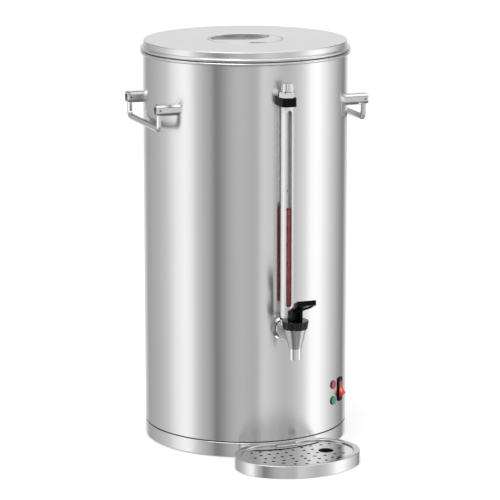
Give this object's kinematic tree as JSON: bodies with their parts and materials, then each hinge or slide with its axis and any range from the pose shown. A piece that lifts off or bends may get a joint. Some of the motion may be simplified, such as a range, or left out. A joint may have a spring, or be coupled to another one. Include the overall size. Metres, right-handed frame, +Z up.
{
  "type": "coffee urn",
  "caption": "Tall cylindrical coffee urn with a flat lift-off lid, drop handles, a sight gauge above a lever tap, a lit switch and an oval drip tray.",
  "frame": {"origin": "on the body's vertical axis, at table level under the rubber foot ring", "axes": "+Z up, -Y towards the tap and the user, +X to the right as the user sees it"},
  "size_m": [0.294, 0.3796, 0.5336],
  "materials": {
    "shell_steel": "vertically brushed stainless steel, soft sheen",
    "lid_steel": "satin stainless steel",
    "tank_steel": "plain drawn stainless steel",
    "handle_steel": "satin cast and drawn stainless steel",
    "dark_pin": "blackened steel",
    "tray_steel": "brushed stainless steel",
    "plate_steel": "polished stainless steel",
    "chrome": "polished chrome plate",
    "gauge_steel": "bright drawn steel tube",
    "black_plastic": "fine satin moulded black plastic",
    "switch_red": "glossy orange-red plastic",
    "lamp_red": "translucent red lamp lens",
    "lamp_green": "translucent green lamp lens",
    "gauge_glass": "clear borosilicate glass",
    "coffee": "dark red-brown coffee",
    "black_rubber": "matt black rubber",
    "silicone": "translucent white silicone",
    "zinc_steel": "zinc-plated steel",
    "heater_metal": "heat-stained aluminium",
    "white_plastic": "off-white heat-resistant plastic",
    "red_plastic": "red button plastic",
    "brass": "brass contact blades"
  },
  "bodies": {
    "urn": {"outer_shell": "shell_steel", "base_band": "shell_steel", "base_plate": "zinc_steel", "foot_ring": "black_rubber", "base_pillars": "zinc_steel", "base_screws": "zinc_steel", "inner_tank": "tank_steel", "tank_base": "tank_steel", "main_heater": "heater_metal", "keep_warm_heater": "heater_metal", "thermostat": "heater_metal", "dry_boil_cutout": "white_plastic", "terminal_block": "white_plastic", "wiring_loom": "white_plastic", "power_inlet": "black_plastic", "inlet_blades": "brass", "inlet_screws": "zinc_steel", "left_front_post": "handle_steel", "left_rear_post": "handle_steel", "right_front_post": "handle_steel", "right_rear_post": "handle_steel", "handle_saddles": "zinc_steel", "shell_screws": "zinc_steel", "bail_pins": "dark_pin", "gauge_shield": "gauge_steel", "gauge_glass": "gauge_glass", "gauge_liquid": "coffee", "gauge_seals": "black_rubber", "gauge_bracket": "black_plastic", "gauge_nut": "chrome", "tap_flange": "chrome", "tap_gaskets": "black_rubber", "tap_spacer": "white_plastic", "tap_locknut": "zinc_steel", "tap_body": "chrome", "tap_spring": "zinc_steel", "tap_collar": "black_plastic", "switch_housing": "black_plastic", "red_lamp": "lamp_red", "green_lamp": "lamp_green"},
    "lid": {"lid_cover": "lid_steel", "lid_grip_dish": "lid_steel", "lid_grip_plate": "lid_steel", "lid_pan": "tank_steel", "lid_seal": "silicone"},
    "riser": {"riser_tube": "tank_steel"},
    "basket": {"filter_basket": "tank_steel"},
    "spreader": {"spreader_cover": "tank_steel"},
    "left_handle": {"left_bail": "handle_steel"},
    "right_handle": {"right_bail": "handle_steel"},
    "stem": {"tap_stem": "zinc_steel", "tap_seat_cup": "silicone"},
    "lever": {"tap_lever": "black_plastic", "lever_pin": "chrome"},
    "rocker": {"switch_rocker": "switch_red"},
    "cap": {"gauge_cap": "chrome"},
    "reset": {"reset_button": "red_plastic"},
    "tray": {"tray_pan": "tray_steel", "tray_pads": "black_rubber"},
    "tray_plate": {"drip_plate": "plate_steel"}
  },
  "joints": [
    {"name": "lid_lift", "type": "slide", "parent": "urn", "child": "lid", "axis": [0, 0, 1], "range_m": [0, 0.62]},
    {"name": "riser_lift", "type": "slide", "parent": "urn", "child": "riser", "axis": [0, 0, 1], "range_m": [0, 0.5]},
    {"name": "basket_slide", "type": "slide", "parent": "riser", "child": "basket", "axis": [0, 0, 1], "range_m": [0, 0.03]},
    {"name": "spreader_lift", "type": "slide", "parent": "basket", "child": "spreader", "axis": [0, 0, 1], "range_m": [0, 0.03]},
    {"name": "left_handle_swing", "type": "hinge", "parent": "urn", "child": "left_handle", "pos_m": [-0.1423, -0.004, 0.4561], "axis": [0, 1, 0], "range_deg": [0, 90]},
    {"name": "right_handle_swing", "type": "hinge", "parent": "urn", "child": "right_handle", "pos_m": [0.1423, -0.004, 0.4561], "axis": [0, -1, 0], "range_deg": [0, 90]},
    {"name": "stem_lift", "type": "slide", "parent": "urn", "child": "stem", "axis": [0, 0, 1], "range_m": [0, 0.0022], "deforming": ["tap_spring"]},
    {"name": "lever_press", "type": "hinge", "parent": "stem", "child": "lever", "pos_m": [0, -0.182, 0.202], "axis": [1, 0, 0], "range_deg": [0, 25], "stiffness_Nm_per_rad": 0.3, "springref_deg": -6.88},
    {"name": "rocker_tilt", "type": "hinge", "parent": "urn", "child": "rocker", "pos_m": [0.09794, -0.0885, 0.0706], "axis": [0.6704, 0.742, 0], "range_deg": [0, 32]},
    {"name": "cap_turn", "type": "hinge", "parent": "urn", "child": "cap", "pos_m": [0, -0.1525, 0.4855], "axis": [0, 0, 1], "range_deg": [0, 360]},
    {"name": "reset_press", "type": "slide", "parent": "urn", "child": "reset", "axis": [0, 0, 1], "range_m": [0, 0.002], "stiffness_N_per_m": 300, "springref_m": -0.002},
    {"name": "tray_slide", "type": "slide", "parent": "urn", "child": "tray", "axis": [0.0349, -0.9994, 0], "range_m": [0, 0.12]},
    {"name": "plate_lift", "type": "slide", "parent": "tray", "child": "tray_plate", "axis": [0, 0, 1], "range_m": [0, 0.08]}
  ],
  "couplings": [
    {"joint": "riser_lift", "follows": "lid_lift", "ratio": 0.8},
    {"joint": "stem_lift", "follows": "lever_press", "m_per_rad": 0.005}
  ]
}
